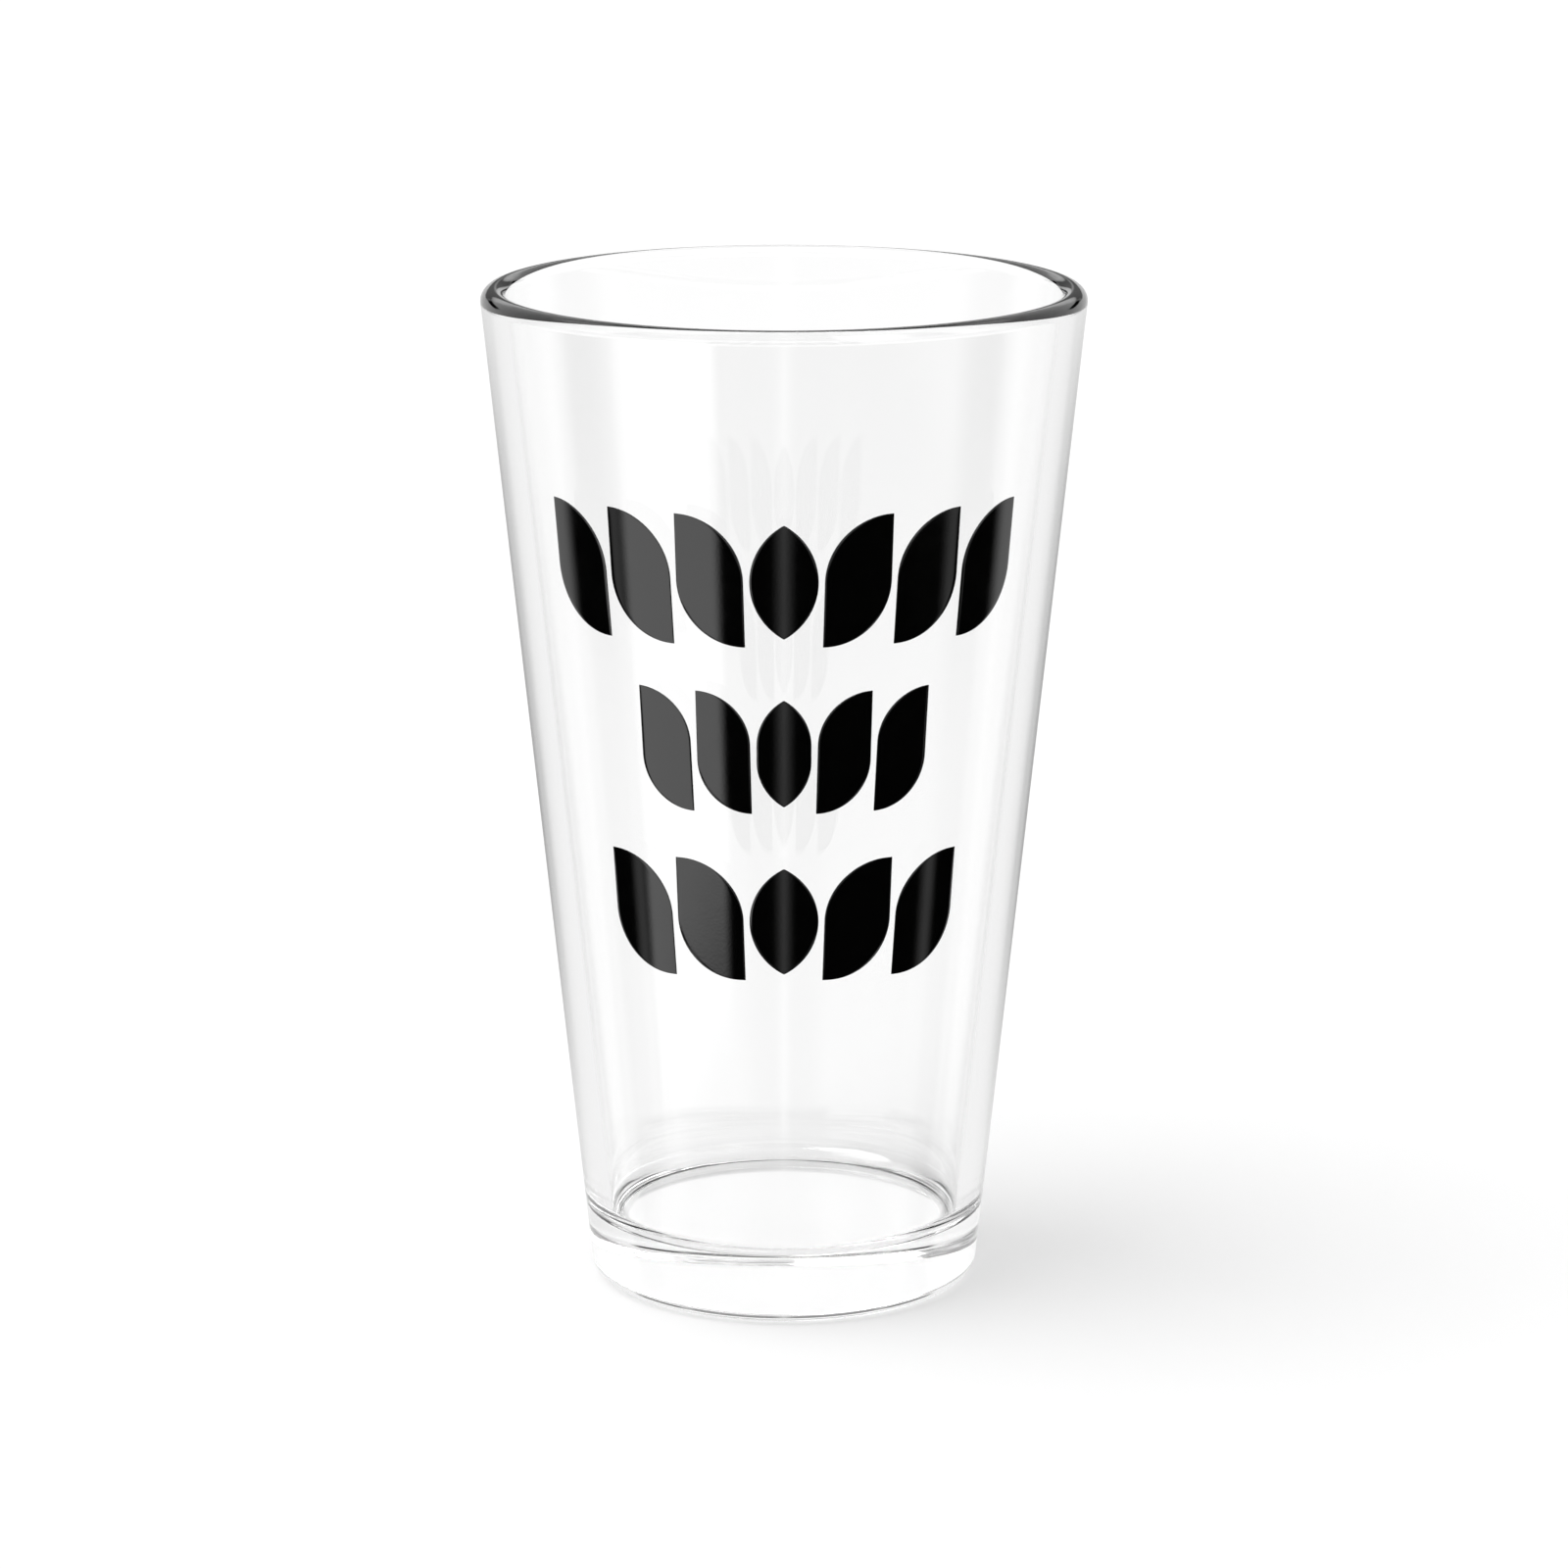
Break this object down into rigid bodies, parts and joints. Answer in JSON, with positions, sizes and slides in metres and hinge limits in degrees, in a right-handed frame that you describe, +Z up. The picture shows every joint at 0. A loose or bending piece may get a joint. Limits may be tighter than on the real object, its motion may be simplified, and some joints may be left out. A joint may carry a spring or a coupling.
{
  "type": "pint glass",
  "caption": "Clear conical pint glass with a rounded rim, a heavy base and a printed leaf pattern in black ink.",
  "frame": {"origin": "centre of the foot, on the surface that the glass stands on", "axes": "+Z up along the glass's axis to the rim; the print is on the -Y side"},
  "size_m": [0.0888, 0.0888, 0.1504],
  "materials": {
    "glass": "fire polished",
    "ink": "gloss fired enamel"
  },
  "bodies": {
    "root": {"glass_vessel": "glass", "print_top_1": "ink", "print_top_2": "ink", "print_top_3": "ink", "print_top_4": "ink", "print_top_5": "ink", "print_top_6": "ink", "print_top_7": "ink", "print_middle_1": "ink", "print_middle_2": "ink", "print_middle_3": "ink", "print_middle_4": "ink", "print_middle_5": "ink", "print_bottom_1": "ink", "print_bottom_2": "ink", "print_bottom_3": "ink", "print_bottom_4": "ink", "print_bottom_5": "ink"}
  },
  "joints": []
}
